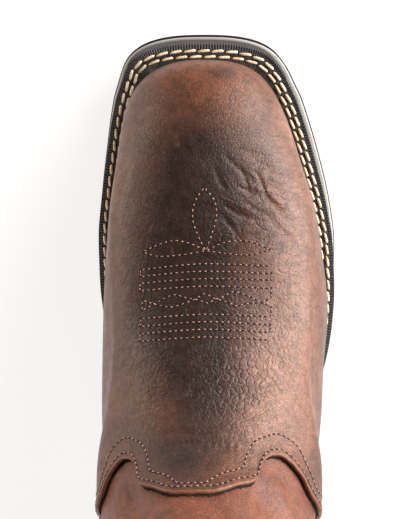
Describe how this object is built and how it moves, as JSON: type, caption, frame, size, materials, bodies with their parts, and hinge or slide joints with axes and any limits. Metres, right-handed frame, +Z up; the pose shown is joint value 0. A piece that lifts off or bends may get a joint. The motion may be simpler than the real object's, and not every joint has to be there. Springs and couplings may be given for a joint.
{
  "type": "western boot",
  "caption": "Right-foot pull-on western boot: hollow leather upper and shaft with pull straps, broad square toe, stitched welt and heeled rubber sole.",
  "frame": {"origin": "on the floor under the centre of the boot's bounding box", "axes": "+X towards the wearer's right, the outer side of this foot; +Y towards the toe; +Z up"},
  "size_m": [0.1268, 0.3132, 0.344],
  "materials": {
    "outsole_rubber": "matt black moulded rubber",
    "midsole_rubber": "matt warm light grey rubber",
    "welt_rubber": "satin black ribbed rubber with cream stitching",
    "insole_cloth": "brown woven sock lining",
    "shaft_leather": "smooth reddish-brown pull-up leather",
    "vamp_leather": "oiled dark brown leather with a mottled pull-up look",
    "trim_leather": "dark brown leather trim"
  },
  "bodies": {
    "root": {"outsole": "outsole_rubber", "midsole": "midsole_rubber", "welt": "welt_rubber", "insole": "insole_cloth", "heel_block": "outsole_rubber", "heel_cap": "outsole_rubber", "upper": "shaft_leather", "vamp": "vamp_leather", "counter": "vamp_leather", "side_seam_outer": "trim_leather", "side_seam_inner": "trim_leather", "collar_binding": "trim_leather", "pull_strap_outer": "trim_leather", "pull_strap_inner": "trim_leather"}
  },
  "joints": []
}
